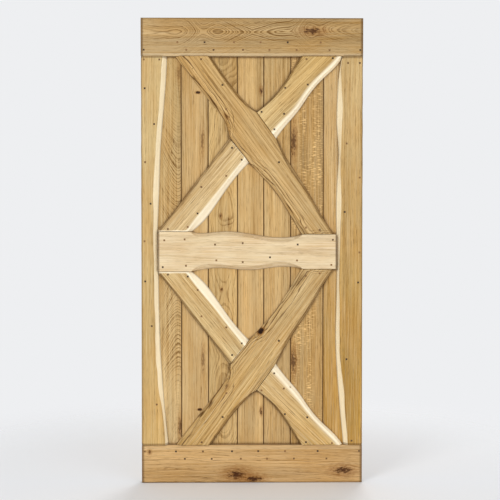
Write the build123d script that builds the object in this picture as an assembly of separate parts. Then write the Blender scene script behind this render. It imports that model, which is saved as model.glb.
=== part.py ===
from build123d import *
import os

# A rustic oak barn-door leaf: upright tongue-and-groove planks at the back, and on their front a frame of
# rails, stiles and braces, whose inner edges keep the waney line of the log. Millimetres, +Z up, front
# towards -Y, origin at the middle of the bottom edge.

# Leaf
LEAF_WIDTH = 1000
LEAF_HEIGHT = 2100
LEAF_EDGE_BEVEL = 6
OVERRUN = 5

# Planks, whose seams lie at these shares of the leaf's width
PLANK_THICKNESS = 20
PLANK_ARRIS = 3
TONGUE_LENGTH = 7
TONGUE_THICKNESS = 6
TONGUE_CLEARANCE = 0.5
plank_seam_shares = [0.18, 0.302, 0.434, 0.553, 0.675, 0.823]

# Frame boards
FRAME_THICKNESS = 22
JOINT_GAP = 1.5
RAIL_HEIGHT = 170
TOP_RAIL_BEVEL = 8
BOTTOM_RAIL_BEVEL = 14
RAIL_BEVEL_DEPTH = 7

# Stiles: share of the length from foot to head, then of the width at the back and at the face
STILE_WIDTH = 120
left_stile_shares = [
    (0.0, 1.0, 0.89), (0.07, 0.89, 0.80), (0.16, 0.785, 0.63), (0.31, 0.67, 0.51), (0.45, 0.635, 0.48),
    (0.54, 0.61, 0.44), (0.65, 0.67, 0.485), (0.755, 0.72, 0.54), (0.84, 0.815, 0.65), (0.92, 0.915, 0.735),
    (1.0, 0.975, 0.85),
]
right_stile_shares = [
    (0.0, 0.70, 0.525), (0.07, 0.80, 0.615), (0.17, 0.925, 0.75), (0.285, 1.0, 0.865), (0.36, 0.975, 0.865),
    (0.48, 0.96, 0.86), (0.58, 0.985, 0.825), (0.67, 0.965, 0.81), (0.76, 0.90, 0.85), (0.83, 0.975, 0.815),
    (0.88, 0.965, 0.785), (0.955, 0.89, 0.82), (1.0, 0.78, 0.725),
]

# Middle rail: it ends at the stiles, whose width there is these shares, and is less high at its right end
MIDDLE_RAIL_HEIGHT = 180
stile_waist_shares = (0.635, 0.98)
middle_rail_right_share = 0.87
# Share of its length, then of its half height at the back and at the face
middle_rail_upper_shares = [
    (0.184, 1.0, 1.0), (0.215, 0.94, 0.77), (0.28, 0.95, 0.785), (0.385, 1.015, 0.855), (0.52, 0.89, 0.71),
    (0.70, 0.72, 0.46), (0.811, 0.87, 0.87),
]
middle_rail_lower_shares = [
    (0.184, 1.0, 1.0), (0.215, 0.95, 0.77), (0.36, 0.825, 0.655), (0.50, 0.93, 0.75), (0.70, 0.76, 0.525),
    (0.811, 0.87, 0.87),
]

# Braces: share along the middle line, then shares of the width beside it, at the back and at the face.
# A stretch of two points is straight and square, where another brace butts against it.
BRACE_WIDTH = 130
long_brace_head_share = -0.55
long_brace_foot_share = 0.60
long_brace_left_shares = [
    [(-0.08, -0.48, -0.29), (0.10, -0.41, -0.21), (0.23, -0.375, -0.15), (0.34, -0.38, -0.24),
     (0.405, -0.565, -0.565)],
    [(0.405, -0.565, -0.565), (0.555, -0.49, -0.49)],
    [(0.555, -0.49, -0.49), (0.61, -0.45, -0.32), (0.72, -0.37, -0.25), (0.88, -0.43, -0.28),
     (1.08, -0.53, -0.40)],
]
long_brace_right_shares = [
    [(-0.08, 0.45, 0.34), (0.15, 0.54, 0.45), (0.30, 0.60, 0.505), (0.38, 0.71, 0.71)],
    [(0.38, 0.71, 0.71), (0.535, 0.725, 0.725)],
    [(0.535, 0.725, 0.725), (0.60, 0.67, 0.60), (0.69, 0.62, 0.51), (0.83, 0.57, 0.475),
     (0.94, 0.475, 0.40), (1.08, 0.51, 0.41)],
]
left_brace_foot_share = -0.726
left_brace_left_shares = [
    [(-0.12, -0.60, -0.46), (0.10, -0.535, -0.44), (0.40, -0.475, -0.41), (0.60, -0.465, -0.365),
     (0.85, -0.385, -0.34), (1.12, -0.48, -0.32)],
]
left_brace_right_shares = [
    [(-0.12, 0.62, 0.33), (0.10, 0.485, 0.325), (0.25, 0.48, 0.345), (0.55, 0.575, 0.38),
     (0.75, 0.605, 0.395), (0.90, 0.51, 0.42), (1.12, 0.42, 0.38)],
]
right_brace_head_share = 0.626
right_brace_left_shares = [
    [(-0.20, -0.62, -0.57), (0.10, -0.57, -0.52), (0.30, -0.49, -0.435), (0.70, -0.425, -0.38),
     (0.90, -0.515, -0.495), (1.12, -0.68, -0.67)],
]
right_brace_right_shares = [
    [(-0.20, 0.57, 0.46), (0.0, 0.60, 0.53), (0.20, 0.515, 0.44), (0.40, 0.49, 0.415),
     (0.65, 0.545, 0.445), (0.82, 0.53, 0.415), (1.12, 0.58, 0.38)],
]

# Cut nails with square heads, driven from the front into the planks
NAIL_HEAD = 8
NAIL_HEAD_THICKNESS = 2
NAIL_SHANK = 4
NAIL_LENGTH = 36
NAIL_SINK = 0.5
# Rail nails stand beside each seam in two rows, and one more at each end of a rail
RAIL_NAIL_NEAR_ROW = 26
RAIL_NAIL_FAR_ROW = 60
RAIL_NAIL_NEAR_SHIFT = 25
RAIL_NAIL_FAR_SHIFT = 15
RAIL_END_NAIL = 14
# Stile nails, staggered: share of the length from foot to head, and of the width from the outer edge
left_stile_nail_shares = [
    (0.99, 0.12), (0.99, 0.70), (0.917, 0.15), (0.826, 0.50), (0.729, 0.16), (0.623, 0.36), (0.527, 0.13),
    (0.424, 0.15), (0.309, 0.39), (0.107, 0.57),
]
right_stile_nail_shares = [
    (0.982, 0.57), (0.982, 0.13), (0.777, 0.62), (0.69, 0.12), (0.602, 0.68), (0.498, 0.12), (0.421, 0.17),
    (0.223, 0.60), (0.012, 0.40),
]
# Nails of the middle rail: the plank they reach, the share of its width, and of the rail's half height
middle_rail_nail_shares = [
    (1, 0.58, 0.57), (2, 0.13, 0.62), (3, 0.235, 0.36), (4, 0.20, 0.43), (6, 0.21, 0.36), (7, 0.237, 0.60),
    (1, 0.54, -0.77), (2, 0.18, -0.70), (3, 0.28, -0.43), (4, 0.20, -0.52), (5, 0.23, -0.28),
    (6, 0.19, -0.44), (7, 0.20, -0.66),
]
# Nails of the braces: the plank they reach, the share of its width, and of the brace's width to the side
long_brace_nail_shares = [
    (2, 0.75, 0.22), (3, 0.49, 0.30), (3, 0.62, -0.08), (5, 0.56, 0.34), (6, 0.46, -0.22), (6, 0.88, 0.12),
]
left_brace_nail_shares = [
    (3, 0.62, 0.20), (2, 0.75, -0.21), (2, 0.61, 0.28), (2, 0.245, 0.32), (1, 0.67, -0.16),
]
right_brace_nail_shares = [
    (6, 0.47, -0.34), (7, 0.226, 0.35), (6, 0.51, 0.24), (5, 0.787, -0.30), (5, 0.746, 0.23),
]
# Two more nails hold each short brace beside its joint with the long one, at these shares of its width
JOINT_NAIL = 18
left_joint_nail_shares = (-0.27, 0.25)
right_joint_nail_shares = (-0.42, 0.30)

# Planes and lines that follow from the sizes
LEAF_DEPTH = PLANK_THICKNESS + FRAME_THICKNESS
FRONT = -LEAF_DEPTH / 2
PLANK_FACE = FRONT + FRAME_THICKNESS
BACK = LEAF_DEPTH / 2
HALF_WIDTH = LEAF_WIDTH / 2
OPENING_FOOT = RAIL_HEIGHT
OPENING_HEAD = LEAF_HEIGHT - RAIL_HEIGHT
MIDDLE = LEAF_HEIGHT / 2
MIDDLE_HALF = MIDDLE_RAIL_HEIGHT / 2
MIDDLE_LEFT = stile_waist_shares[0] * STILE_WIDTH + JOINT_GAP - HALF_WIDTH
MIDDLE_RIGHT = HALF_WIDTH - stile_waist_shares[1] * STILE_WIDTH - JOINT_GAP
LEFT_SHOULDER = MIDDLE + MIDDLE_HALF
RIGHT_SHOULDER = MIDDLE + MIDDLE_HALF * middle_rail_right_share
SEAMS = [share * LEAF_WIDTH - HALF_WIDTH for share in plank_seam_shares]
PLANK_EDGES = [-HALF_WIDTH, *SEAMS, HALF_WIDTH]


def outline(stretches, y):
    """Closed wire in the upright plane at y: a curve through each stretch, or a line for two points."""
    edges = []
    for stretch in stretches:
        points = [Vector(x, y, z) for x, z in stretch]
        edges.append(Edge.make_line(*points) if len(points) == 2 else Edge.make_spline(points))
    return Wire(edges)


def board(back_stretches, face_stretches):
    """Frame board that lies on the planks, its edges sloping from the back outline to the face outline."""
    return Solid.make_loft([outline(back_stretches, PLANK_FACE), outline(face_stretches, FRONT)], ruled=True)


def slab(x_low, x_high, y_low, y_high, z_low, z_high):
    """Square block between two corners."""
    size = Box(x_high - x_low, y_high - y_low, z_high - z_low)
    return Pos((x_low + x_high) / 2, (y_low + y_high) / 2, (z_low + z_high) / 2) * size


def leaf_envelope():
    """The whole leaf as one block, its front bevelled all round."""
    block = slab(-HALF_WIDTH, HALF_WIDTH, FRONT, BACK, 0, LEAF_HEIGHT)
    return chamfer(block.faces().sort_by(Axis.Y)[0].edges(), LEAF_EDGE_BEVEL)


def plank(x_low, x_high, first, last):
    """Upright plank: a groove on its left, a tongue on its right, and V arrises where two planks meet."""
    middle = (PLANK_FACE + BACK) / 2
    tongue = TONGUE_THICKNESS / 2
    groove = tongue + TONGUE_CLEARANCE
    left_arris = 0 if first else PLANK_ARRIS
    right_arris = 0 if last else PLANK_ARRIS
    section = Polyline(
        (x_low + left_arris, PLANK_FACE),
        (x_high - right_arris, PLANK_FACE),
        *([] if last else [(x_high, PLANK_FACE + PLANK_ARRIS)]),
        (x_high, BACK - PLANK_ARRIS),
        (x_high - PLANK_ARRIS, BACK),
        (x_low + PLANK_ARRIS, BACK),
        (x_low, BACK - PLANK_ARRIS),
        *([] if first else [(x_low, PLANK_FACE + PLANK_ARRIS)]),
        close=True,
    )
    body = extrude(make_face(section), amount=LEAF_HEIGHT, dir=(0, 0, 1))
    if not last:
        body += slab(x_high, x_high + TONGUE_LENGTH, middle - tongue, middle + tongue, 0, LEAF_HEIGHT)
    if not first:
        bottom = x_low + TONGUE_LENGTH + TONGUE_CLEARANCE
        body -= slab(
            x_low - OVERRUN, bottom, middle - groove, middle + groove, -OVERRUN, LEAF_HEIGHT + OVERRUN
        )
    return body


def over_plank(number, share):
    """Place across the leaf at a share of a plank's width."""
    x_low, x_high = PLANK_EDGES[number - 1], PLANK_EDGES[number]
    return x_low + share * (x_high - x_low)


def rail(z_low, z_high, bevel, bevel_edge):
    """Straight rail across the leaf, its inner front edge bevelled."""
    block = slab(-HALF_WIDTH, HALF_WIDTH, FRONT, PLANK_FACE, z_low, z_high)
    edge = block.faces().sort_by(Axis.Y)[0].edges().sort_by(Axis.Z)[bevel_edge]
    return chamfer(edge, bevel, RAIL_BEVEL_DEPTH, reference=block.faces().sort_by(Axis.Y)[0])


def stile_line(shares, side, column, extra):
    """Points of a stile's inner edge from foot to head, at the back or the face."""
    foot = OPENING_FOOT + JOINT_GAP
    length = OPENING_HEAD - JOINT_GAP - foot
    return [
        (side * (HALF_WIDTH - row[column] * STILE_WIDTH - extra), foot + row[0] * length) for row in shares
    ]


def stile_stretches(shares, side, column, extra=0):
    """Outline of a stile: its inner edge, head, straight outer edge and foot."""
    inner = stile_line(shares, side, column, extra)
    head = (side * HALF_WIDTH, inner[-1][1])
    foot = (side * HALF_WIDTH, inner[0][1])
    return [inner, [inner[-1], head], [head, foot], [foot, inner[0]]]


def stile(shares, side):
    """Upright board at the leaf's edge with a waney inner edge."""
    return board(stile_stretches(shares, side, 1), stile_stretches(shares, side, 2))


def stile_room(shares, side):
    """What a stile takes up with its joint gap, for trimming the boards that meet it."""
    outer = stile_stretches(shares, side, 1, JOINT_GAP)
    return board(outer, outer)


def middle_rail_point(along_share, height_share):
    """Place on the middle rail: share of its length, and of its half height above its middle line."""
    return (MIDDLE_LEFT + along_share * (MIDDLE_RIGHT - MIDDLE_LEFT), MIDDLE + height_share * MIDDLE_HALF)


def middle_rail_stretches(column):
    """Outline of the middle rail: square ends with level shoulders, and a waney line between them."""
    upper = [middle_rail_point(row[0], row[column]) for row in middle_rail_upper_shares]
    lower = [middle_rail_point(row[0], -row[column]) for row in middle_rail_lower_shares]
    left_top = middle_rail_point(0, 1)
    left_foot = middle_rail_point(0, -1)
    right_top = middle_rail_point(1, middle_rail_right_share)
    right_foot = middle_rail_point(1, -middle_rail_right_share)
    return [
        [left_top, upper[0]], upper, [upper[-1], right_top], [right_top, right_foot],
        [right_foot, lower[-1]], lower[::-1], [lower[0], left_foot], [left_foot, left_top],
    ]


class Brace:
    """Waney board laid along a middle line between two places of the front plane."""

    def __init__(self, head, foot, left_shares, right_shares):
        self.head = Vector(head[0], 0, head[1])
        self.along = Vector(foot[0], 0, foot[1]) - self.head
        self.side = Vector(-self.along.Z, 0, self.along.X).normalized()
        self.left_shares = left_shares
        self.right_shares = right_shares

    def place(self, along_share, side_share):
        """Point at a share of the middle line and of the width to its side."""
        point = self.head + self.along * along_share + self.side * (side_share * BRACE_WIDTH)
        return (point.X, point.Z)

    def stretches(self, column):
        """Closed outline at the back or the face: left edge, foot, right edge, head."""
        left = [[self.place(row[0], row[column]) for row in stretch] for stretch in self.left_shares]
        right = [[self.place(row[0], row[column]) for row in stretch] for stretch in self.right_shares]
        back_up = [stretch[::-1] for stretch in right[::-1]]
        return [*left, [left[-1][-1], right[-1][-1]], *back_up, [right[0][0], left[0][0]]]

    def nail_place(self, plank_number, plank_share, side_share):
        """Point over a plank at a share of its width, and of the brace's width to its side."""
        offset = self.side * (side_share * BRACE_WIDTH)
        along_share = (over_plank(plank_number, plank_share) - self.head.X - offset.X) / self.along.X
        return self.place(along_share, side_share)

    def joint_nail_place(self, joint_plane, side_share):
        """Point one nail distance off a joint plane, at a share of the width to the side."""
        normal = joint_plane.z_dir
        line_start = self.head + self.side * (side_share * BRACE_WIDTH)
        off_plane = joint_plane.origin + normal * JOINT_NAIL
        return self.place((off_plane - line_start).dot(normal) / self.along.dot(normal), side_share)

    def solid(self):
        """The board before its ends are cut."""
        return board(self.stretches(1), self.stretches(2))

    def joint_plane(self, straight_stretch):
        """Plane one joint gap off a straight stretch of an edge, facing away from the board."""
        first, last = [Vector(x, 0, z) for x, z in [self.place(row[0], row[1]) for row in straight_stretch]]
        line = last - first
        outward = Vector(-line.Z, 0, line.X).normalized()
        if straight_stretch[0][1] < 0:
            outward = -outward
        return Plane(origin=(first + last) * 0.5 + outward * JOINT_GAP, z_dir=outward)

    def joint_middle(self, straight_stretch):
        """Middle of a straight stretch of an edge."""
        first, last = straight_stretch
        return self.place((first[0] + last[0]) / 2, (first[1] + last[1]) / 2)


def between(low, high):
    """Block that keeps what lies between two heights."""
    return slab(-LEAF_WIDTH, LEAF_WIDTH, -LEAF_DEPTH, LEAF_DEPTH, low, high)


def nail(x, z):
    """Square nail, its head just below the face."""
    top = FRONT + NAIL_SINK
    head = slab(x - NAIL_HEAD / 2, x + NAIL_HEAD / 2, top, top + NAIL_HEAD_THICKNESS,
                z - NAIL_HEAD / 2, z + NAIL_HEAD / 2)
    shank = slab(x - NAIL_SHANK / 2, x + NAIL_SHANK / 2, top, top + NAIL_LENGTH,
                 z - NAIL_SHANK / 2, z + NAIL_SHANK / 2)
    return head + shank


def nail_hole(x, z):
    """The room of a nail, open to the front."""
    seat = FRONT + NAIL_SINK + NAIL_HEAD_THICKNESS
    mouth = slab(x - NAIL_HEAD / 2, x + NAIL_HEAD / 2, FRONT - OVERRUN, seat,
                 z - NAIL_HEAD / 2, z + NAIL_HEAD / 2)
    return mouth + nail(x, z)


def rail_nail_places(edge, inward, mirror_sign):
    """Places of a rail's nails: beside each seam in two rows, and one at each end in the near row."""
    near = edge + inward * RAIL_NAIL_NEAR_ROW
    far = edge + inward * RAIL_NAIL_FAR_ROW
    places = [(side * (HALF_WIDTH - RAIL_END_NAIL), near) for side in (-1, 1)]
    for seam in SEAMS:
        places.append((seam + mirror_sign * RAIL_NAIL_NEAR_SHIFT, near))
        places.append((seam - mirror_sign * RAIL_NAIL_FAR_SHIFT, far))
    return places


def stile_nail_places(shares, side):
    """Places of a stile's nails."""
    length = OPENING_HEAD - OPENING_FOOT
    return [
        (side * (HALF_WIDTH - inset * STILE_WIDTH), OPENING_FOOT + along * length) for along, inset in shares
    ]


# Frame boards before their nail holes
envelope = leaf_envelope()
boards = {
    "bottom_rail": rail(0, OPENING_FOOT, BOTTOM_RAIL_BEVEL, -1) & envelope,
    "top_rail": rail(OPENING_HEAD, LEAF_HEIGHT, TOP_RAIL_BEVEL, 0) & envelope,
    "left_stile": stile(left_stile_shares, -1) & envelope,
    "right_stile": stile(right_stile_shares, 1) & envelope,
    "middle_rail": board(middle_rail_stretches(1), middle_rail_stretches(2)),
}
nail_places = {
    "bottom_rail": rail_nail_places(OPENING_FOOT, -1, -1),
    "top_rail": rail_nail_places(OPENING_HEAD, 1, 1),
    "left_stile": stile_nail_places(left_stile_nail_shares, -1),
    "right_stile": stile_nail_places(right_stile_nail_shares, 1),
    "middle_rail": [
        (over_plank(number, share), MIDDLE + height_share * MIDDLE_HALF)
        for number, share, height_share in middle_rail_nail_shares
    ],
}

# Braces of the upper half, and their mirror images below the middle rail
long_brace = Brace(
    (long_brace_head_share * HALF_WIDTH, OPENING_HEAD), (long_brace_foot_share * HALF_WIDTH, RIGHT_SHOULDER),
    long_brace_left_shares, long_brace_right_shares,
)
left_joint = long_brace_left_shares[1]
right_joint = long_brace_right_shares[1]
left_plane = long_brace.joint_plane(left_joint)
right_plane = long_brace.joint_plane(right_joint)
left_brace = Brace(
    long_brace.joint_middle(left_joint), (left_brace_foot_share * HALF_WIDTH, LEFT_SHOULDER),
    left_brace_left_shares, left_brace_right_shares,
)
right_brace = Brace(
    (right_brace_head_share * HALF_WIDTH, OPENING_HEAD), long_brace.joint_middle(right_joint),
    right_brace_left_shares, right_brace_right_shares,
)
head_line = OPENING_HEAD - JOINT_GAP
upper_braces = {
    "long_brace": long_brace.solid() & between(RIGHT_SHOULDER + JOINT_GAP, head_line),
    "left_brace": split(
        left_brace.solid() & between(LEFT_SHOULDER + JOINT_GAP, head_line),
        bisect_by=left_plane, keep=Keep.TOP,
    ),
    "right_brace": split(
        right_brace.solid() & between(RIGHT_SHOULDER + JOINT_GAP, head_line),
        bisect_by=right_plane, keep=Keep.TOP,
    ),
}
upper_nails = {
    "long_brace": [long_brace.nail_place(*shares) for shares in long_brace_nail_shares],
    "left_brace": [left_brace.nail_place(*shares) for shares in left_brace_nail_shares]
    + [left_brace.joint_nail_place(left_plane, share) for share in left_joint_nail_shares],
    "right_brace": [right_brace.nail_place(*shares) for shares in right_brace_nail_shares]
    + [right_brace.joint_nail_place(right_plane, share) for share in right_joint_nail_shares],
}
rooms = [stile_room(left_stile_shares, -1), stile_room(right_stile_shares, 1)]
for name, solid in upper_braces.items():
    below = mirror(solid, about=Plane.XY.offset(MIDDLE))
    boards["upper_" + name] = solid - rooms
    boards["lower_" + name] = below - rooms
    nail_places["upper_" + name] = upper_nails[name]
    nail_places["lower_" + name] = [(x, 2 * MIDDLE - z) for x, z in upper_nails[name]]

# Nail holes in the boards, and the nails in a group for each kind of board
os.makedirs("parts", exist_ok=True)
nail_groups = {"rail_nails": "rail", "stile_nails": "stile", "brace_nails": "brace"}
for name, solid in boards.items():
    export_step(solid - [nail_hole(*place) for place in nail_places[name]], "parts/" + name + ".step")
for group, kind in nail_groups.items():
    nails = [nail(*place) for name, places in nail_places.items() if name.endswith(kind) for place in places]
    export_step(Compound(nails), "parts/" + group + ".step")

# Planks, drilled by the nails that reach them
all_places = [place for places in nail_places.values() for place in places]
for number, (x_low, x_high) in enumerate(zip(PLANK_EDGES, PLANK_EDGES[1:]), start=1):
    solid = plank(x_low, x_high, number == 1, number == len(SEAMS) + 1)
    reached = [(x, z) for x, z in all_places if x_low - NAIL_HEAD < x < x_high + TONGUE_LENGTH + NAIL_HEAD]
    export_step(solid - [nail_hole(*place) for place in reached], "parts/plank_" + str(number) + ".step")
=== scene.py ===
import math
from dataclasses import dataclass
from typing import NamedTuple

import bmesh
import bpy
import numpy as np
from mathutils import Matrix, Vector, noise

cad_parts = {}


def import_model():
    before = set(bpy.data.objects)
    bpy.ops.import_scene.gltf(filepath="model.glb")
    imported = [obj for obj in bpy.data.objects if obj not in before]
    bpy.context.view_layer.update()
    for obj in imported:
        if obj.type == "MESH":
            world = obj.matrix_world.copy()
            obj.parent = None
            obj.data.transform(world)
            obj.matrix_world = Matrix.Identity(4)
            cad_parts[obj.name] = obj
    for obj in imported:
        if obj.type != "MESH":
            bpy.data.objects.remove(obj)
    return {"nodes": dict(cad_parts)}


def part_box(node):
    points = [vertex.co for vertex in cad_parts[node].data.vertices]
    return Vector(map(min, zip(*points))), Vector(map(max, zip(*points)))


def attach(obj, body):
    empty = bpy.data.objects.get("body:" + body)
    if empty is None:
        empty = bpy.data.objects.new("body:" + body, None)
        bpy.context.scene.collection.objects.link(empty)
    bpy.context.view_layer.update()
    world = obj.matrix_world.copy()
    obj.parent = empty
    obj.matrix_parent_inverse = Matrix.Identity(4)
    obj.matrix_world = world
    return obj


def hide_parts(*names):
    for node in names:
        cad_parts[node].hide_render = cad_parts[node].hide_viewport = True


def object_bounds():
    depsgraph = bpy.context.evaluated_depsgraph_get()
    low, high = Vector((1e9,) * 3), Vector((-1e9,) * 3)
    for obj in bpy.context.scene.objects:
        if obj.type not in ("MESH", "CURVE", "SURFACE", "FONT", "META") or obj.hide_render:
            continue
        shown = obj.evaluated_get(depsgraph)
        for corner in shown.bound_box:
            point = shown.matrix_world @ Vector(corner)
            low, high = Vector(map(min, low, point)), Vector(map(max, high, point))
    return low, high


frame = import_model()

# A rustic oak barn-door leaf. Every board is dressed with rounded, worn edges and with oak that follows its
# own grain, and the nails with blackened iron. Metres, front towards -Y.
CAD_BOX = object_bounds()
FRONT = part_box("top_rail")[0].y
PLANK_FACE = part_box("top_rail")[1].y
PLANK_DEPTH = PLANK_FACE - FRONT
HALF_WIDTH = CAD_BOX[1].x
LEAF_HEIGHT = CAD_BOX[1].z

# Grain directions (x, z); a slanting board's is found from its outline
UP = (0.0, 1.0)
ACROSS = (1.0, 0.0)
SLANT = None

# Rounded edges
TOUCH = 1e-5
FLAT_NORMAL = 1e-4
BOARD_FLAT_ANGLE = math.radians(0.6)
NAIL_FLAT_ANGLE = math.radians(1)
SHARP_ANGLE = math.radians(32)
SQUARE_ANGLE = math.radians(55)
WANEY_ANGLES = (math.radians(6), math.radians(75))
WANEY_ROUND = 0.0035
WANEY_SEGMENTS = 3
ARRIS = 0.0012
NAIL_ARRIS = 0.0008
ARRIS_SEGMENTS = 2
ROUND_PROFILE = 0.5

# Worn surface, and dents of knots and holes
OUTLINE_SAMPLES = 240
CELL = 0.010
PLAIN_CELL = 0.070
DENT_CELL = 0.0025
SLOPE_FACING = -0.08
FLAT_FACING = -0.9
WANEY_WEAR = 0.0022
SLOPE_WEAR_SHARE = 0.5
FACE_WEAR = 0.0004
WEAR_SCALE = 16.0
KNOT_DENT = 0.0012
HOLE_DENT = 0.0045
DENT_FLAT_SHARE = 0.5


def srgb(red, green, blue):
    """Linear colour from 0-255 values."""
    shares = [value / 255 for value in (red, green, blue)]
    return tuple(s / 12.92 if s <= 0.04045 else ((s + 0.055) / 1.055) ** 2.4 for s in shares)


def shade(colour, factor):
    """A colour made lighter or darker."""
    return tuple(channel * factor for channel in colour)


# Colours
CREAM = srgb(254, 237, 200)
WHITE_SAP = srgb(255, 242, 213)
BARK_BROWN = srgb(98, 66, 22)
LINE_BROWN = srgb(112, 74, 16)
CRACK_BROWN = srgb(88, 56, 14)
PORE_BROWN = srgb(104, 70, 18)
KNOT_BROWN = srgb(70, 36, 4)
KNOT_HALO = srgb(136, 84, 26)
# Black of the painted shade inside the knot holes
HOLE_SHADE = srgb(34, 14, 2)
# Colour of the dark seams, and of the painted shade in corners, at feet and at ends
SEAM_AND_SHADE_BROWN = srgb(84, 54, 24)
TAN = srgb(192, 142, 70)
STREAK_BROWN = srgb(160, 116, 44)
IRON = srgb(66, 48, 30)
RUST = srgb(140, 102, 60)
PALE = srgb(238, 239, 241)
FIBRE_LIGHT = (1.28, 1.38, 1.66)
FLECK_LIGHT = 1.9
IRON_DARK = 0.45


class Layer(NamedTuple):
    """A noise in a material: its shift, scales per metre, the stretch that counts and what that gives."""
    shift: float
    scales: tuple
    detail: float = 2.0
    roughness: float = 0.5
    between: tuple = (0.0, 1.0)
    gives: tuple = (0.0, 1.0)


# Noise in the oak, with scales along the grain, across it and into the board
RING_BEND = Layer(0, (1.4, 5, 5), gives=(-0.014, 0.014))
KNOT_RAGGED = Layer(3, (60, 170, 90), 4.0, 0.6, gives=(-1.3, 1.3))
RING_SWELL = Layer(7, (5, 2, 2), 0.0)
EYE_STRAY = Layer(9, (3, 1, 1), 0.0, gives=(-4.5, 4.5))
RING_UNEVEN = Layer(11, (70, 0.8, 20), gives=(-1.1, 1.1))
RING_JITTER = Layer(13, (30, 160, 160), gives=(-0.16, 0.16))
RING_BREAKS = Layer(15, (5, 60, 60), between=(0.3, 0.62), gives=(0.4, 1.0))
EYE_BREAKS = RING_BREAKS._replace(gives=(0.75, 1.0))
PORES = Layer(17, (22, 560, 560), between=(0.54, 0.68))
FIBRE = Layer(23, (3.5, 210, 210), 3.0, 0.65)
STREAK = Layer(25, (1.7, 85, 85), 3.0, 0.6)
BAND = Layer(29, (0.9, 16, 16), between=(0.3, 0.7))
CLOUD = Layer(31, (5, 11, 11), between=(0.35, 0.7))
FLECK_RIPPLE = Layer(33, (260, 45, 45), 1.0, between=(0.52, 0.66))
FLECK_PATCH = Layer(37, (5, 20, 20), between=(0.40, 0.66))
BARK_LINE = Layer(41, (9, 30, 30), gives=(-0.004, 0.004))
SAP_LINE = Layer(43, (4, 26, 26), gives=(-0.006, 0.006))
BARK_PATCH = Layer(47, (14, 70, 70), 3.0, between=(0.32, 0.66), gives=(0.45, 1.3))
CRACK_LINE = Layer(51, (3, 16, 16), 3.0, gives=(-1.6, 1.6))
CRACK_PATCH = Layer(53, (2, 20, 20), between=(0.34, 0.48))

# Noise in the nails' iron
IRON_PATCH = Layer(2, (260, 260, 260), 3.0)
IRON_BLOWS = Layer(5, (500, 500, 500))
RUST_PATCH = Layer(9, (13, 13, 13), 1.0, between=(0.40, 0.60))

# Growth rings: where in a ring its line is full and how it closes, how the figure fades, and what knots do
RING_FULL = 0.9
RING_CLOSE = (0.92, 1.0)
FIGURE_FADE = 1.7
FIGURE_REST = 0.3
CLIMB_FADE = 0.24
CLIMB_REST = 0.15
KNOT_PUSH = 0.8
KNOT_PUSH_FALL = 0.30
HOLE_RAGGED = 0.3

# Marks on the oak: the share that they cover, and the edge over which they come or go
CLOUD_SHARE = 0.34
STREAK_EDGE = (0.40, 0.62)
PORE_SHARES = (0.30, 0.65)
FIBRE_EDGE = (0.42, 0.75)
FIBRE_SHARE = 0.50
CRACK_SPACING = 0.016
CRACK_TURN = 0.5
CRACK_WIDTH = (0.02, 0.16)
CRACK_BAND = (0.012, 0.05)
CRACK_SHARE = 0.95
BARK_EDGE = (-0.002, 0.006)
# Painted highlight on one edge's chamfer: where it is full and where it is gone
HIGHLIGHT_EDGE = (0.001, 0.004)
SAP_SHARE = 0.97
SAP_STREAK_EDGE = (0.35, 0.65)
SAP_STREAK_SHARE = 0.14
KNOT_HALO_EDGE = (0.6, 2.8)
KNOT_HALO_SHARE = 0.6
KNOT_EDGE = (0.35, 1.15)
HOLE_HALO_EDGE = (0.8, 1.9)
HOLE_HALO_SHARE = 0.7
HOLE_EDGE = (0.75, 1.2)
HOLE_DEPTHS = (PLANK_DEPTH + HOLE_DENT, PLANK_DEPTH + 2 * HOLE_DENT)
SEAM_EDGE = (-0.0015, 0.001)
SEAM_SHARE = 0.6
# Painted shade in the planks' corners beside the frame boards: how far it reaches, its samples, its edge and
# its share
CORNER_SHADE_REACH = 0.016
CORNER_SHADE_SAMPLES = 8
CORNER_SHADE_EDGE = (0.6, 0.98)
CORNER_SHADE_SHARE = 0.75
# Painted shade at the frame boards' feet, where they meet the planks, and at the ends of the upright and
# level boards, with its share
FOOT_SHADE_EDGE = (0.017, 0.022)
END_SHADE_EDGE = (0.0, 0.003)
FOOT_SHADE_SHARE = 0.5
BORDER_EDGE = (0.003, 0.009)
BORDER_SHARE = 0.45

# Gloss and relief
OAK_ROUGHNESS = (0.56, 0.72)
OAK_SPECULAR = 0.2
RING_RELIEF = -0.5
PORE_RELIEF = -0.6
FIBRE_RELIEF = 0.7
OAK_BUMP = 0.0008
IRON_BUMP = 0.0006
BUMP_STRENGTH = 0.5
IRON_PATCH_EDGE = (0.35, 0.65)
IRON_GLOSS_EDGE = (0.3, 0.7)
IRON_ROUGHNESS = (0.5, 0.75)
IRON_METALLIC = 0.3

# Colour sockets of a mix node
MIX_FIRST = 6
MIX_SECOND = 7
MIX_RESULT = 2


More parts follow.
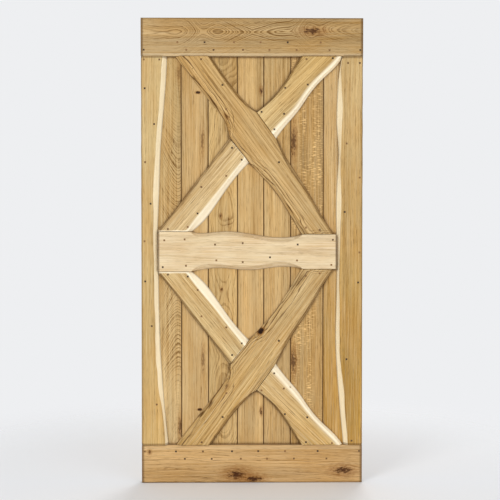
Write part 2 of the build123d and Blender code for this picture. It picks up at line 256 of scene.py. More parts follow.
@dataclass
class Look:
    """How one board's oak looks."""
    tone: tuple                 # colour at the top or right end
    foot_tone: tuple            # colour at the bottom or left end
    pith: tuple                 # middle of the log: across from the board's middle, and in front of the leaf
    spacing: float              # width of a growth ring
    rings: float                # strength of the rings' lines
    seed: float                 # shifts the noise, so that boards differ
    tilt: tuple = (0.0, 0.0)    # how much the pith strays across and in depth, per metre along
    wave: float = 0.004         # how far the rings swell along the board
    climb: tuple = None         # flame figure: how fast the rings close in, and how far it is strong
    eyes: tuple = None          # row of eyes: how far the rings bulge, their spacing, and where they end
    late: float = 0.42          # share of a ring before its line starts
    figure: float = None        # distance from the pith within which the rings are strong
    drift: float = 0.16         # slow change of tone
    streaks: float = 0.45       # strength of the brown streaks
    pore_gain: float = 1.0      # strength of the pores
    flecks: float = 0.0         # strength of the bright flecks
    cracks: str = None          # edge with cracks beside it
    bark: tuple = ()            # edges browned by the bark
    bark_share: float = 0.5
    highlight_edge: str = None       # edge whose chamfer has a painted highlight
    highlight_share: float = 0.3
    sap: str = None             # edge with sapwood
    sap_width: float = 0.0
    sap_soft: float = 0.002
    sap_tone: tuple = CREAM
    knots: tuple = ()           # x, z, half length, half width, darkness
    holes: tuple = ()           # x, z, half length, half width


class Graph:
    """Short names for building a material's nodes."""

    def __init__(self, name, seed=0.0):
        self.material = bpy.data.materials.new(name)
        self.material.use_nodes = True
        self.nodes = self.material.node_tree.nodes
        self.links = self.material.node_tree.links
        self.shader = self.nodes["Principled BSDF"]
        self.seed = seed

    def put(self, value, socket):
        """Link a socket, or set a constant."""
        if isinstance(value, bpy.types.NodeSocket):
            self.links.new(value, socket)
        elif socket.type == "RGBA":
            socket.default_value = (*value, 1.0)
        else:
            socket.default_value = value

    def math(self, operation, *operands):
        """A calculation on one to three numbers."""
        node = self.nodes.new("ShaderNodeMath")
        node.operation = operation
        for operand, socket in zip(operands, node.inputs):
            self.put(operand, socket)
        return node.outputs[0]

    def total(self, *terms):
        """Sum of two or more numbers."""
        result = terms[0]
        for term in terms[1:]:
            result = self.math("ADD", result, term)
        return result

    def times(self, *factors):
        """Product of two or more numbers."""
        result = factors[0]
        for factor in factors[1:]:
            result = self.math("MULTIPLY", result, factor)
        return result

    def length(self, first, second):
        """Length of a line with two sides at a right angle."""
        return self.math("SQRT", self.total(self.times(first, first), self.times(second, second)))

    def parts(self, vector):
        """The three numbers of a vector."""
        node = self.nodes.new("ShaderNodeSeparateXYZ")
        self.links.new(vector, node.inputs[0])
        return node.outputs[0], node.outputs[1], node.outputs[2]

    def attribute(self, name):
        """The three numbers of a point attribute."""
        source = self.nodes.new("ShaderNodeAttribute")
        source.attribute_name = name
        return self.parts(source.outputs["Vector"])

    def object_place(self):
        """Place in the object's own space, as a vector."""
        return self.nodes.new("ShaderNodeTexCoord").outputs["Object"]

    def noise(self, place, layer):
        """A layer's plain noise at a place, between 0 and 1."""
        joined = self.nodes.new("ShaderNodeCombineXYZ")
        for value, scale, socket in zip(place, layer.scales, joined.inputs):
            self.put(self.math("MULTIPLY_ADD", value, scale, self.seed + layer.shift), socket)
        texture = self.nodes.new("ShaderNodeTexNoise")
        texture.inputs["Scale"].default_value = 1.0
        texture.inputs["Detail"].default_value = layer.detail
        texture.inputs["Roughness"].default_value = layer.roughness
        self.links.new(joined.outputs[0], texture.inputs["Vector"])
        return texture.outputs["Fac"]

    def pattern(self, place, layer):
        """What a layer gives at a place."""
        return self.ramp(self.noise(place, layer), *layer.between, *layer.gives)

    def ramp(self, value, low, high, start=0.0, end=1.0):
        """Smooth step from start at low to end at high."""
        node = self.nodes.new("ShaderNodeMapRange")
        node.interpolation_type = "SMOOTHSTEP"
        for number, socket in zip((value, low, high, start, end), node.inputs):
            self.put(number, socket)
        return node.outputs[0]

    def fade(self, value, edge, share=1.0):
        """Share up to the edge's first value, and nothing past its second."""
        return self.ramp(value, *edge, share, 0.0)

    def mix(self, share, first, second, blend="MIX"):
        """First colour with a share of the second over it."""
        node = self.nodes.new("ShaderNodeMix")
        node.data_type = "RGBA"
        node.blend_type = blend
        self.put(share, node.inputs[0])
        self.put(first, node.inputs[MIX_FIRST])
        self.put(second, node.inputs[MIX_SECOND])
        return node.outputs[MIX_RESULT]

    def openness(self, reach):
        """1 on open faces, and less in corners where other faces are within reach."""
        node = self.nodes.new("ShaderNodeAmbientOcclusion")
        node.samples = CORNER_SHADE_SAMPLES
        node.inputs["Distance"].default_value = reach
        return node.outputs["AO"]

    def bump(self, height, distance):
        """Fine relief of the surface."""
        node = self.nodes.new("ShaderNodeBump")
        node.inputs["Strength"].default_value = BUMP_STRENGTH
        node.inputs["Distance"].default_value = distance
        self.links.new(height, node.inputs["Height"])
        self.links.new(node.outputs[0], self.shader.inputs["Normal"])


class Oak(Graph):
    """Oak cut from a log: growth rings round a pith beside the board, pores, fibres, sapwood and knots."""

    def __init__(self, board):
        look = board.look
        super().__init__(board.node + "_oak", look.seed)
        self.board = board
        self.look = look
        self.u, self.v, self.depth = self.attribute("grain")
        left, right, self.border = self.attribute("rims")
        self.rim = {"left": left, "right": right}
        self.straight = (self.u, self.v, self.depth)
        self.bent = self.v
        ragged = self.pattern(self.straight, KNOT_RAGGED)
        self.knots = [(self.core(*knot[:4], ragged), knot[4]) for knot in look.knots]
        self.holes = [self.core(*hole, self.times(ragged, HOLE_RAGGED)) for hole in look.holes]
        self.place = (self.u, self.bent, self.depth)
        self.pores = self.pattern(self.place, PORES)
        self.fibre = self.noise(self.place, FIBRE)
        self.streak = self.noise(self.place, STREAK)
        self.early, self.strong = self.growth_rings()

    def core(self, x, z, half_length, half_width, ragged):
        """Push the grain aside round a knot or hole, and give the distance from its middle in its sizes."""
        knot_u, knot_v = self.board.place(x, z)
        off = self.math("SUBTRACT", self.v, knot_v)
        along = self.math("DIVIDE", self.math("SUBTRACT", self.u, knot_u), half_length)
        reach = self.length(along, self.math("DIVIDE", off, half_width))
        push = self.math("EXPONENT", self.times(-KNOT_PUSH_FALL, reach, reach))
        self.bent = self.math("SUBTRACT", self.bent, self.times(off, push, KNOT_PUSH))
        return self.total(reach, ragged)

    def growth_rings(self):
        """Lines of the growth rings, and how strong they are from place to place."""
        look, u, place = self.look, self.u, self.place
        swell = self.pattern(place, RING_SWELL._replace(gives=(-look.wave, look.wave)))
        if look.eyes:
            height, length, end = look.eyes
            turn = self.total(self.times(u, math.tau / length), self.pattern(place, EYE_STRAY))
            bulge = self.fade(u, (end, end + length / 2), height)
            swell = self.total(swell, self.times(self.math("SINE", turn), bulge))
        (pith_v, pith_depth), (stray_v, stray_depth) = look.pith, look.tilt
        from_pith = self.total(self.bent, self.pattern(place, RING_BEND), self.times(u, stray_v), -pith_v)
        below = self.total(self.depth, self.times(u, stray_depth), pith_depth, 0.0 if look.climb else swell)
        radius = self.length(from_pith, below)
        strong = self.times(self.pattern(place, EYE_BREAKS if look.eyes else RING_BREAKS), look.rings)
        if look.figure:
            away = self.math("ABSOLUTE", from_pith)
            near = self.ramp(away, look.figure, look.figure * FIGURE_FADE, 1.0, FIGURE_REST)
            strong = self.times(strong, near)
        if look.climb:
            slope, end = look.climb
            from_middle = self.math("ABSOLUTE", u)
            radius = self.total(radius, swell, self.times(from_middle, -slope))
            strong = self.times(strong, self.ramp(from_middle, end, end + CLIMB_FADE, 1.0, CLIMB_REST))
        uneven = self.pattern((radius, u, radius), RING_UNEVEN)
        jitter = self.pattern(place, RING_JITTER)
        phase = self.math("FRACT", self.total(self.math("DIVIDE", radius, look.spacing), uneven, jitter))
        return self.times(self.ramp(phase, look.late, RING_FULL), self.fade(phase, RING_CLOSE)), strong

    def heartwood(self):
        """Colour of the wood with its drifts of tone, streaks, rings, pores and fibres."""
        look = self.look
        steps = self.board.edges[0]
        base = self.mix(self.ramp(self.u, steps[0], steps[-1]), look.foot_tone, look.tone)
        band = self.pattern(self.place, BAND)
        drift = self.mix(band, (1 + look.drift,) * 3, (1 - look.drift,) * 3)
        colour = self.mix(1.0, base, drift, "MULTIPLY")
        colour = self.mix(self.times(self.pattern(self.place, CLOUD), CLOUD_SHARE), colour, TAN)
        colour = self.mix(self.fade(self.streak, STREAK_EDGE, look.streaks), colour, STREAK_BROWN)
        colour = self.mix(self.times(self.early, self.strong), colour, LINE_BROWN)
        in_rings = self.ramp(self.early, 0.0, 1.0, *PORE_SHARES)
        colour = self.mix(self.times(self.pores, in_rings, look.pore_gain), colour, PORE_BROWN)
        bright = tuple(channel * gain for channel, gain in zip(look.tone, FIBRE_LIGHT))
        return self.mix(self.ramp(self.fibre, *FIBRE_EDGE, 0.0, FIBRE_SHARE), colour, bright)

    def flecked(self, colour):
        """Bright flecks across the grain, in patches."""
        ripple = self.pattern(self.straight, FLECK_RIPPLE)
        patch = self.pattern(self.straight, FLECK_PATCH)
        bright = shade(self.look.tone, FLECK_LIGHT)
        return self.mix(self.times(ripple, patch, self.look.flecks), colour, bright)

    def cracked(self, colour):
        """Cracks that run along one edge."""
        rim = self.rim[self.look.cracks]
        lines = self.total(self.math("DIVIDE", rim, CRACK_SPACING), self.pattern(self.place, CRACK_LINE))
        split = self.fade(self.math("PINGPONG", lines, CRACK_TURN), CRACK_WIDTH)
        near = self.fade(rim, CRACK_BAND, CRACK_SHARE)
        return self.mix(self.times(split, near, self.pattern(self.place, CRACK_PATCH)), colour, CRACK_BROWN)

    def barked(self, colour, side):
        """Brown left by the bark on a sloping edge."""
        rim = self.math("ADD", self.rim[side], self.pattern(self.place, BARK_LINE))
        slope = self.fade(rim, BARK_EDGE, self.look.bark_share)
        return self.mix(self.times(slope, self.pattern(self.place, BARK_PATCH)), colour, BARK_BROWN)

    def highlighted(self, colour):
        """Painted highlight on the chamfer of one edge."""
        highlight = self.fade(self.rim[self.look.highlight_edge], HIGHLIGHT_EDGE, self.look.highlight_share)
        return self.mix(highlight, colour, CREAM)

    def sapped(self, colour):
        """Pale sapwood on one edge."""
        look = self.look
        inside = self.total(self.rim[look.sap], self.pattern(self.place, SAP_LINE), -look.sap_width)
        pale = self.fade(inside, (-look.sap_soft, look.sap_soft), SAP_SHARE)
        streaks = self.fade(self.streak, SAP_STREAK_EDGE, SAP_STREAK_SHARE)
        return self.mix(pale, colour, self.mix(streaks, look.sap_tone, look.tone))

    def knotted(self, colour):
        """Brown knots, and knot holes with black painted shade inside that doesn't reach the back."""
        for reach, dark in self.knots:
            colour = self.mix(self.fade(reach, KNOT_HALO_EDGE, KNOT_HALO_SHARE * dark), colour, KNOT_HALO)
            colour = self.mix(self.fade(reach, KNOT_EDGE, dark), colour, KNOT_BROWN)
        for reach in self.holes:
            colour = self.mix(self.fade(reach, HOLE_HALO_EDGE, HOLE_HALO_SHARE), colour, KNOT_HALO)
            # Painted shade inside the knot holes, on the front only
            hollow_shade = self.times(self.fade(reach, HOLE_EDGE), self.fade(self.depth, HOLE_DEPTHS))
            colour = self.mix(hollow_shade, colour, HOLE_SHADE)
        return colour

    def shaded_and_darkened(self, colour):
        """Darker along the planks' seams and the leaf's border, and painted shade in the planks' corners, at
        the frame boards' feet and at the ends of the upright and level ones.
        """
        if self.board.is_plank:
            seam = self.math("MINIMUM", self.rim["left"], self.rim["right"])
            colour = self.mix(self.fade(seam, SEAM_EDGE, SEAM_SHARE), colour, SEAM_AND_SHADE_BROWN)
            # Painted shade where the planks meet the frame boards
            corner = self.fade(self.openness(CORNER_SHADE_REACH), CORNER_SHADE_EDGE, CORNER_SHADE_SHARE)
            colour = self.mix(corner, colour, SEAM_AND_SHADE_BROWN)
        else:
            # Painted shade at the foot of the frame board's edges
            colour = self.mix(self.ramp(self.depth, *FOOT_SHADE_EDGE, 0.0, FOOT_SHADE_SHARE), colour, SEAM_AND_SHADE_BROWN)
            if not self.board.slanting:
                # Painted shade at the board's ends
                steps = self.board.edges[0]
                from_start = self.math("SUBTRACT", self.u, steps[0])
                to_end = self.math("SUBTRACT", steps[-1], self.u)
                ends = self.math("MINIMUM", from_start, to_end)
                colour = self.mix(self.fade(ends, END_SHADE_EDGE, FOOT_SHADE_SHARE), colour, SEAM_AND_SHADE_BROWN)
        return self.mix(self.fade(self.border, BORDER_EDGE, BORDER_SHARE), colour, BARK_BROWN)

    def finished(self):
        """The material with all its layers."""
        look = self.look
        colour = self.heartwood()
        if look.flecks:
            colour = self.flecked(colour)
        if look.cracks:
            colour = self.cracked(colour)
        for side in look.bark:
            colour = self.barked(colour, side)
        if look.highlight_edge:
            colour = self.highlighted(colour)
        if look.sap:
            colour = self.sapped(colour)
        colour = self.shaded_and_darkened(self.knotted(colour))
        self.put(colour, self.shader.inputs["Base Color"])
        self.put(self.ramp(self.early, 0.0, 1.0, *OAK_ROUGHNESS), self.shader.inputs["Roughness"])
        self.shader.inputs["Specular IOR Level"].default_value = OAK_SPECULAR
        relief = self.total(
            self.times(self.early, RING_RELIEF), self.times(self.pores, PORE_RELIEF),
            self.times(self.fibre, FIBRE_RELIEF),
        )
        self.bump(relief, OAK_BUMP)
        return self.material


def iron():
    """Dull blackened nail iron."""
    graph = Graph("nail_iron")
    place = graph.parts(graph.object_place())
    patches = graph.noise(place, IRON_PATCH)
    colour = graph.mix(graph.ramp(patches, *IRON_PATCH_EDGE), IRON, shade(IRON, IRON_DARK))
    colour = graph.mix(graph.pattern(place, RUST_PATCH), colour, RUST)
    graph.put(colour, graph.shader.inputs["Base Color"])
    graph.put(graph.ramp(patches, *IRON_GLOSS_EDGE, *IRON_ROUGHNESS), graph.shader.inputs["Roughness"])
    graph.shader.inputs["Metallic"].default_value = IRON_METALLIC
    graph.bump(graph.noise(place, IRON_BLOWS), IRON_BUMP)
    return graph.material


class Board:
    """Where a board's grain runs, how wide its face is along it, and what dents it."""

    def __init__(self, node, direction, look, waney=False, is_plank=False):
        self.node = node
        self.look = look
        self.waney = waney
        self.is_plank = is_plank
        self.slanting = direction is SLANT
        self.dents = [(*knot[:4], KNOT_DENT * knot[4]) for knot in look.knots]
        self.dents += [(*hole, HOLE_DENT) for hole in look.holes]
        mesh = cad_mesh(node)
        loop = face_outline(mesh)
        mesh.free()
        self.middle = loop.reshape(-1, 2).mean(0)
        self.along = long_axis(loop, self.middle) if self.slanting else np.array(direction)
        if self.along[1] < 0:
            self.along = -self.along
        self.across = np.array((self.along[1], -self.along[0]))
        if self.across[0] < 0 or direction == ACROSS:
            self.across = -self.across
        self.edges = self.edge_table(loop)

    def place(self, x, z):
        """Distance along and across the grain from the board's middle."""
        offset = np.array((x, z)) - self.middle
        return offset @ self.along, offset @ self.across

    def edge_table(self, loop):
        """Left and right edge of the face at steps along the grain."""
        ends = np.array([[self.place(*point) for point in edge] for edge in loop])
        first, second = ends[:, 0], ends[:, 1]
        low, high = ends[:, :, 0].min(), ends[:, :, 0].max()
        steps = np.linspace(low, high, OUTLINE_SAMPLES + 2)[1:-1]
        left, right = [], []
        for step in steps:
            crossing = (first[:, 0] - step) * (second[:, 0] - step) <= 0
            run = second[crossing, 0] - first[crossing, 0]
            share = np.divide(step - first[crossing, 0], run, out=np.zeros_like(run), where=run != 0)
            sides = first[crossing, 1] + share * (second[crossing, 1] - first[crossing, 1])
            left.append(sides.min())
            right.append(sides.max())
        return steps, np.array(left), np.array(right)

    def dent(self, x, z):
        """Depth of the knots and knot holes at a place of the face."""
        u, v = self.place(x, z)
        deep = 0.0
        for knot_x, knot_z, half_length, half_width, depth in self.dents:
            knot_u, knot_v = self.place(knot_x, knot_z)
            reach = math.hypot((u - knot_u) / half_length, (v - knot_v) / half_width)
            deep = max(deep, depth * min(1.0, max(0.0, (1 - reach) / (1 - DENT_FLAT_SHARE))))
        return deep

    def rims(self, u, v):
        """Distance in from the left and the right edge of the face."""
        steps, left, right = self.edges
        return v - np.interp(u, steps, left), np.interp(u, steps, right) - v


def cad_mesh(node):
    """A CAD node's shape with its faces joined."""
    mesh = bmesh.new()
    mesh.from_mesh(frame["nodes"][node].data)
    bmesh.ops.remove_doubles(mesh, verts=mesh.verts, dist=TOUCH)
    return mesh


def face_outline(mesh):
    """Edges round the front face, without the nail pockets, as pairs of (x, z)."""
    mesh.normal_update()
    groups = []
    left = {edge for edge in mesh.edges if is_face_rim(edge)}
    while left:
        group = [left.pop()]
        for edge in group:
            for vert in edge.verts:
                near = [other for other in vert.link_edges if other in left]
                left.difference_update(near)
                group.extend(near)
        groups.append(np.array([[(v.co.x, v.co.z) for v in edge.verts] for edge in group]))
    return max(groups, key=lambda group: np.ptp(group.reshape(-1, 2), axis=0).sum())


def is_face_rim(edge):
    """True where the front face ends."""
    if len(edge.link_faces) != 2:
        return False
    first, second = (is_front_face(face) for face in edge.link_faces)
    return first != second


def is_front_face(face):
    """True for a flat face in the front plane of the frame boards or of the planks."""
    depth = face.verts[0].co.y
    plane = FRONT if depth < (FRONT + PLANK_FACE) / 2 else PLANK_FACE
    return abs(face.normal.y + 1) < FLAT_NORMAL and abs(depth - plane) < TOUCH


def long_axis(loop, middle):
    """Direction in which an outline is longest."""
    points = []
    for first, second in loop:
        count = max(2, int(np.linalg.norm(second - first) / CELL))
        points.extend(first + (second - first) * i / count for i in range(count))
    values, vectors = np.linalg.eigh(np.cov((np.array(points) - middle).T))
    return vectors[:, np.argmax(values)]


def rounded_mesh(board):
    """The board's CAD shape with rounded edges, cut into cells that can be worn and dented."""
    mesh = cad_mesh(board.node)
    bmesh.ops.dissolve_limit(mesh, angle_limit=BOARD_FLAT_ANGLE, verts=mesh.verts, edges=mesh.edges)
    if board.waney:
        round_edges(mesh, WANEY_ROUND, WANEY_SEGMENTS, is_waney)
    round_edges(mesh, ARRIS, ARRIS_SEGMENTS, is_square)
    bmesh.ops.triangulate(mesh, faces=mesh.faces)
    x, _, z = zip(*(vert.co for vert in mesh.verts))
    cell = CELL if board.waney else PLAIN_CELL
    cut_into_cells(mesh, list(mesh.faces), cell, (min(x), min(z)), (max(x), max(z)))
    mesh.normal_update()
    for x, z, half_length, half_width, _ in board.dents:
        half = max(half_length, half_width)
        low, high = (x - half, z - half), (x + half, z + half)
        dented = [face for face in mesh.faces if is_in_square(face, low, high)]
        cut_into_cells(mesh, dented, DENT_CELL, low, high)
    return mesh


def is_waney(edge):
    """True between the front face and a sloping edge of the board."""
    low, high = WANEY_ANGLES
    at_front = all(abs(vert.co.y - FRONT) < TOUCH for vert in edge.verts)
    return at_front and edge.is_manifold and low < edge.calc_face_angle_signed(0.0) < high


def is_square(edge):
    """True on a sharp outer corner."""
    return edge.is_manifold and edge.calc_face_angle_signed(0.0) > SQUARE_ANGLE


def round_edges(mesh, size, segments, wanted):
    """Round the wanted edges."""
    mesh.normal_update()
    bmesh.ops.bevel(
        mesh, geom=[edge for edge in mesh.edges if wanted(edge)], offset=size, offset_type="OFFSET",
        segments=segments, profile=ROUND_PROFILE, affect="EDGES", clamp_overlap=True,
    )


def cut_into_cells(mesh, faces, cell, low, high):
    """Cut faces by upright and level planes, a cell apart, between two corners (x, z)."""
    for axis, first, last in ((0, low[0], high[0]), (2, low[1], high[1])):
        steps = range(math.ceil(first / cell), math.floor(last / cell) + 1)
        faces = cut_at_steps(mesh, faces, axis, cell, steps)


def cut_at_steps(mesh, faces, axis, cell, steps):
    """Cut faces at steps along an axis, the middle step first, and give back what they became."""
    if not steps or not faces:
        return faces
    half = len(steps) // 2
    place = steps[half] * cell
    normal = Vector((axis == 0, 0, axis == 2))
    near, far = [], []
    for face in faces:
        reach = [vert.co[axis] for vert in face.verts]
        (near if min(reach) < place < max(reach) else far).append(face)
    edges = {edge for face in near for edge in face.edges}
    verts = {vert for face in near for vert in face.verts}
    geom = [*near, *edges, *verts]
    cut = bmesh.ops.bisect_plane(mesh, geom=geom, plane_co=normal * place, plane_no=normal, dist=TOUCH)
    below, above = [], []
    for face in far + [item for item in cut["geom"] if isinstance(item, bmesh.types.BMFace)]:
        (below if face.calc_center_median()[axis] < place else above).append(face)
    below = cut_at_steps(mesh, below, axis, cell, steps[:half])
    return below + cut_at_steps(mesh, above, axis, cell, steps[half + 1:])


def is_in_square(face, low, high):
    """True for a face of the front that reaches into a square between two corners (x, z)."""
    if face.normal.y >= FLAT_FACING:
        return False
    x, z = zip(*((vert.co.x, vert.co.z) for vert in face.verts))
    meets_x = min(x) < high[0] and max(x) > low[0]
    meets_z = min(z) < high[1] and max(z) > low[1]
    return meets_x and meets_z


def wear(board, mesh):
    """Dip the front of a board as worn wood does, more on its slopes, and dent its knots and holes."""
    mesh.normal_update()
    seed = Vector((board.middle[0], 0, board.middle[1])) * WEAR_SCALE
    moves = []
    for vert in mesh.verts:
        on_slope = board.waney and min(board.rims(*board.place(vert.co.x, vert.co.z))) < WANEY_ROUND
        faces_front = vert.normal.y < (SLOPE_FACING if on_slope else FLAT_FACING)
        slope_wear = min(WANEY_WEAR, (PLANK_FACE - vert.co.y) * SLOPE_WEAR_SHARE)
        worn = max(0.0, (1 + noise.noise(vert.co * WEAR_SCALE + seed)) / 2)
        dip = (slope_wear if on_slope else FACE_WEAR) * worn + board.dent(vert.co.x, vert.co.z)
        moves.append(vert.normal * (-dip if faces_front else 0.0))
    for vert, move in zip(mesh.verts, moves):
        vert.co += move
        vert.co.y = max(vert.co.y, CAD_BOX[0].y)


def dress(board):
    """Put a board into the scene, with its grain and its edge distances stored for the oak."""
    mesh = rounded_mesh(board)
    wear(board, mesh)
    piece = add_piece(board.node + "_dressed", mesh, Oak(board).finished(), board.node)
    points = [vert.co for vert in piece.data.vertices]
    places = np.array([(*board.place(co.x, co.z), co.y - FRONT) for co in points])
    left, right = board.rims(places[:, 0], places[:, 1])
    border = [min(HALF_WIDTH - abs(co.x), co.z, LEAF_HEIGHT - co.z) for co in points]
    store(piece.data, "grain", places)
    store(piece.data, "rims", np.stack((left, right, border), axis=1))


def store(mesh, name, rows):
    """Keep three numbers for each point of a mesh."""
    layer = mesh.attributes.new(name, "FLOAT_VECTOR", "POINT")
    layer.data.foreach_set("vector", np.asarray(rows, dtype=np.float32).ravel())


def add_piece(name, mesh, material, node):
    """A bmesh as a piece that stands for a CAD node."""
    data = bpy.data.meshes.new(name)
    mesh.to_mesh(data)
    mesh.free()
    data.polygons.foreach_set("use_smooth", [True] * len(data.polygons))
    data.set_sharp_from_angle(angle=SHARP_ANGLE)
    data.materials.append(material)
    piece = bpy.data.objects.new(name, data)
    bpy.context.scene.collection.objects.link(piece)
    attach(piece, "root")
    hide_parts(node)
    return piece


# What the braces' oak has in common
LONG_BRACE = dict(pith=(-0.22, 0.05), spacing=0.011, rings=0.55, late=0.6, bark=["right"], cracks="left")
SHORT_BRACE = dict(
    spacing=0.012, rings=0.4, late=0.55, pore_gain=1.3, sap="right", sap_tone=WHITE_SAP, bark=["left"],
)
LEFT_BRACE = dict(SHORT_BRACE, pith=(-0.18, 0.05), sap_width=0.007, sap_soft=0.005)
RIGHT_BRACE = dict(SHORT_BRACE, pith=(-0.20, 0.05), sap_width=0.012, sap_soft=0.010)

# Frame boards: grain direction, material slot and oak
FRAME_BOARDS = {
    "top_rail": (ACROSS, "frame_oak", Look(
        tone=srgb(179, 150, 103), foot_tone=srgb(202, 173, 126), pith=(0.024, 0.012), wave=0.012,
        climb=(0.28, 0.30), eyes=(0.022, 0.26, 0.24), spacing=0.0074, rings=1.0, late=0.32, figure=0.034,
        pore_gain=1.3, highlight_edge="left", knots=[(0.272, 2.041, 0.040, 0.013, 0.9)], seed=1.0)),
    "bottom_rail": (ACROSS, "frame_oak", Look(
        tone=srgb(199, 162, 111), foot_tone=srgb(208, 171, 118), pith=(-0.16, 0.05), tilt=(0.03, 0.0),
        wave=0.025, spacing=0.011, rings=0.4, late=0.55, streaks=0.28, pore_gain=1.5,
        highlight_edge="right", highlight_share=0.1,
        knots=[(-0.068, 0.036, 0.040, 0.021, 1.0), (0.008, 0.018, 0.036, 0.013, 1.0),
               (0.415, 0.056, 0.038, 0.016, 0.95), (-0.464, 0.141, 0.006, 0.010, 0.7)], seed=5.0)),
    "left_stile": (UP, "frame_oak", Look(
        tone=srgb(202, 176, 124), foot_tone=srgb(212, 176, 113), pith=(-0.20, 0.06), spacing=0.012,
        rings=0.22, late=0.5, streaks=0.2, sap="right", seed=9.0)),
    "right_stile": (UP, "frame_oak", Look(
        tone=srgb(197, 169, 118), foot_tone=srgb(182, 139, 58), pith=(0.20, 0.06), spacing=0.012,
        rings=0.30, late=0.5, streaks=0.3, pore_gain=1.3, sap="left", drift=0.2, seed=13.0)),
    "middle_rail": (ACROSS, "pale_oak", Look(
        tone=srgb(222, 200, 161), foot_tone=srgb(231, 208, 167), pith=(0.02, 0.12), tilt=(0.05, 0.0),
        spacing=0.009, rings=0.16, drift=0.05, streaks=0.1, pore_gain=0.55,
        bark=["left", "right"], bark_share=0.05, seed=17.0)),
    "upper_long_brace": (SLANT, "frame_oak", Look(
        tone=srgb(204, 168, 110), foot_tone=srgb(198, 171, 123), **LONG_BRACE,
        knots=[(-0.115, 1.659, 0.012, 0.006, 0.6)], seed=21.0)),
    "lower_long_brace": (SLANT, "frame_oak", Look(
        tone=srgb(207, 179, 128), foot_tone=srgb(206, 170, 109), **LONG_BRACE, pore_gain=1.4,
        knots=[(-0.113, 0.440, 0.012, 0.006, 0.6)], holes=[(0.040, 0.690, 0.015, 0.010)], seed=25.0)),
    "upper_left_brace": (SLANT, "frame_oak", Look(
        tone=srgb(220, 194, 144), foot_tone=srgb(222, 195, 146), **LEFT_BRACE, seed=29.0)),
    "lower_left_brace": (SLANT, "frame_oak", Look(
        tone=srgb(213, 185, 132), foot_tone=srgb(215, 189, 138), **LEFT_BRACE, seed=33.0)),
    "upper_right_brace": (SLANT, "frame_oak", Look(
        tone=srgb(208, 174, 112), foot_tone=srgb(221, 194, 140), **RIGHT_BRACE, seed=37.0)),
    "lower_right_brace": (SLANT, "frame_oak", Look(
        tone=srgb(215, 187, 135), foot_tone=srgb(214, 181, 119), **RIGHT_BRACE, seed=41.0)),
}
STRAIGHT_RAILS = ("top_rail", "bottom_rail")

# Planks, left to right
PLANKS = {
    "plank_1": Look(
        tone=srgb(183, 154, 103), foot_tone=srgb(218, 190, 140), pith=(0.074, 0.0), climb=(0.5, 0.40),
        spacing=0.0082, rings=1.0, wave=0.014, late=0.45, figure=0.044, pore_gain=1.3,
        knots=[(-0.330, 1.855, 0.036, 0.008, 0.4), (-0.326, 0.250, 0.040, 0.010, 0.7)], seed=45.0),
    "plank_2": Look(
        tone=srgb(198, 167, 116), foot_tone=srgb(206, 175, 124), pith=(-0.3, 0.05), spacing=0.011,
        rings=0.28, late=0.5, streaks=0.32,
        knots=[(-0.224, 1.552, 0.050, 0.007, 0.45), (-0.222, 0.556, 0.045, 0.007, 0.5)],
        holes=[(-0.2436, 1.769, 0.0055, 0.010), (-0.238, 0.330, 0.0055, 0.010)], seed=49.0),
    "plank_3": Look(
        tone=srgb(202, 170, 114), foot_tone=srgb(212, 179, 123), pith=(0.0, 0.05), tilt=(0.0, 0.05),
        spacing=0.010, rings=0.55, late=0.5, wave=0.05, streaks=0.3, pore_gain=1.6,
        knots=[(-0.142, 1.212, 0.008, 0.005, 0.8), (-0.138, 0.879, 0.008, 0.005, 0.8),
               (-0.108, 1.185, 0.034, 0.016, 0.15), (-0.091, 1.838, 0.030, 0.016, 0.1)], seed=53.0),
    "plank_4": Look(
        tone=srgb(196, 164, 111), foot_tone=srgb(211, 178, 125), pith=(0.2, 0.06), spacing=0.012,
        rings=0.26, late=0.5, drift=0.24, streaks=0.32,
        knots=[(0.042, 1.778, 0.014, 0.006, 0.9), (0.042, 0.323, 0.014, 0.006, 0.9)], seed=57.0),
    "plank_5": Look(
        tone=srgb(199, 167, 113), foot_tone=srgb(203, 172, 122), pith=(-0.25, 0.05), spacing=0.010,
        rings=0.34, late=0.5, streaks=0.36, pore_gain=1.5, seed=61.0),
    "plank_6": Look(
        tone=srgb(181, 149, 99), foot_tone=srgb(188, 156, 104), pith=(0.3, 0.04), spacing=0.010,
        rings=0.42, late=0.5, flecks=0.8, drift=0.26, pore_gain=1.5,
        knots=[(0.187, 1.548, 0.055, 0.013, 0.8), (0.188, 0.548, 0.050, 0.013, 0.8)], seed=65.0),
    "plank_7": Look(
        tone=srgb(201, 173, 126), foot_tone=srgb(182, 139, 62), pith=(-0.2, 0.05), spacing=0.011,
        rings=0.26, late=0.5, streaks=0.34, drift=0.2, seed=69.0),
}

for node, (direction, slot, look) in FRAME_BOARDS.items():
    dress(Board(node, direction, look, waney=node not in STRAIGHT_RAILS))
for node, look in PLANKS.items():
    dress(Board(node, UP, look, is_plank=True))

nail_material = iron()
for node in ("rail_nails", "stile_nails", "brace_nails"):
    nails = cad_mesh(node)
    bmesh.ops.dissolve_limit(nails, angle_limit=NAIL_FLAT_ANGLE, verts=nails.verts, edges=nails.edges)
    round_edges(nails, NAIL_ARRIS, ARRIS_SEGMENTS, is_square)
    add_piece(node + "_dressed", nails, nail_material, node)

# Floor and light
FLOOR_CLEAR = 0.9
FLOOR_FADE = 2.2
FLOOR_DROP = 0.0005
FLOOR_SEGMENTS = 96
FLOOR_ROUGHNESS = 0.9
WORLD_COLOUR = (0.97, 0.98, 1.0)
WORLD_LIGHT = 0.54
LEAF_MIDDLE = Vector((0, 0, LEAF_HEIGHT / 2))
LAMPS = {
    "key": dict(place=(-2.6, -3.9, 2.6), size=1.8, power=95, colour=(1.0, 0.98, 0.94)),
    "back": dict(place=(1.2, 4.2, 2.4), size=2.6, power=110, colour=(1.0, 0.99, 0.97)),
    "fill": dict(place=(2.6, -3.4, 0.6), size=2.6, power=74, colour=(1.0, 0.99, 0.97)),
}

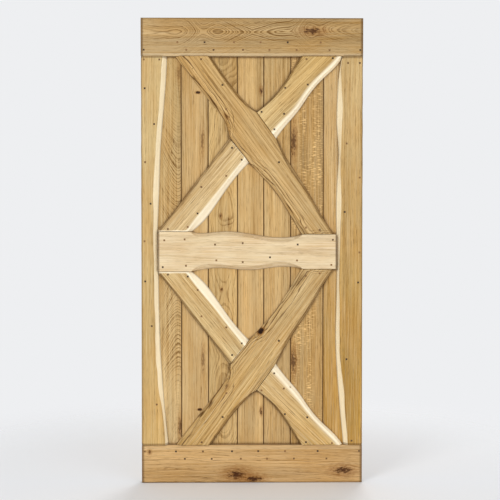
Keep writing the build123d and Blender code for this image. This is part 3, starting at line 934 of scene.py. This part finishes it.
# Camera where the photograph was taken, turned a little down and to the right
CAMERA_PLACE = (-0.052, -4.0, 1.1585)
FIELD_OF_VIEW = math.radians(31.645)
CAMERA_DOWN = math.radians(1.449)
CAMERA_RIGHT = math.radians(0.615)
LEVEL = math.radians(90)


def floor():
    """Pale round floor that fades out at its rim."""
    graph = Graph("floor_pale")
    distance = graph.nodes.new("ShaderNodeVectorMath")
    distance.operation = "LENGTH"
    graph.links.new(graph.object_place(), distance.inputs[0])
    graph.put(PALE, graph.shader.inputs["Base Color"])
    graph.shader.inputs["Roughness"].default_value = FLOOR_ROUGHNESS
    shown = graph.fade(distance.outputs["Value"], (FLOOR_CLEAR, FLOOR_FADE))
    graph.put(shown, graph.shader.inputs["Alpha"])
    disc = bmesh.new()
    bmesh.ops.create_circle(disc, cap_ends=True, segments=FLOOR_SEGMENTS, radius=FLOOR_FADE)
    data = bpy.data.meshes.new("floor")
    disc.to_mesh(data)
    disc.free()
    data.materials.append(graph.material)
    piece = bpy.data.objects.new("floor", data)
    piece.location.z = -FLOOR_DROP
    bpy.context.scene.collection.objects.link(piece)


def world():
    """Soft even light, and a pale ground where it is seen straight, in reflections or through glass."""
    setting = bpy.data.worlds.new("studio")
    bpy.context.scene.world = setting
    setting.use_nodes = True
    nodes, links = setting.node_tree.nodes, setting.node_tree.links
    light = nodes["Background"]
    light.inputs["Color"].default_value = (*WORLD_COLOUR, 1.0)
    light.inputs["Strength"].default_value = WORLD_LIGHT
    seen = nodes.new("ShaderNodeBackground")
    seen.inputs["Color"].default_value = (*PALE, 1.0)
    path = nodes.new("ShaderNodeLightPath")
    is_seen = path.outputs["Is Camera Ray"]
    for ray in ("Is Glossy Ray", "Is Transmission Ray"):
        either = nodes.new("ShaderNodeMath")
        either.operation = "MAXIMUM"
        links.new(is_seen, either.inputs[0])
        links.new(path.outputs[ray], either.inputs[1])
        is_seen = either.outputs[0]
    mixer = nodes.new("ShaderNodeMixShader")
    links.new(is_seen, mixer.inputs[0])
    links.new(light.outputs[0], mixer.inputs[1])
    links.new(seen.outputs[0], mixer.inputs[2])
    links.new(mixer.outputs[0], nodes["World Output"].inputs["Surface"])


def lamp(name, place, size, power, colour):
    """Square soft lamp that looks at the middle of the leaf."""
    data = bpy.data.lights.new(name, "AREA")
    data.size = size
    data.energy = power
    data.color = colour
    piece = bpy.data.objects.new(name, data)
    piece.location = place
    piece.rotation_euler = (LEAF_MIDDLE - Vector(place)).to_track_quat("-Z", "Y").to_euler()
    bpy.context.scene.collection.objects.link(piece)


def camera():
    """The photograph's view."""
    data = bpy.data.cameras.new("camera")
    data.sensor_fit = "HORIZONTAL"
    data.angle = FIELD_OF_VIEW
    piece = bpy.data.objects.new("camera", data)
    piece.location = CAMERA_PLACE
    piece.rotation_euler = (LEVEL - CAMERA_DOWN, 0, -CAMERA_RIGHT)
    bpy.context.scene.collection.objects.link(piece)
    bpy.context.scene.camera = piece


floor()
world()
for name, settings in LAMPS.items():
    lamp(name, **settings)
camera()

bpy.context.scene.view_settings.view_transform = "Standard"
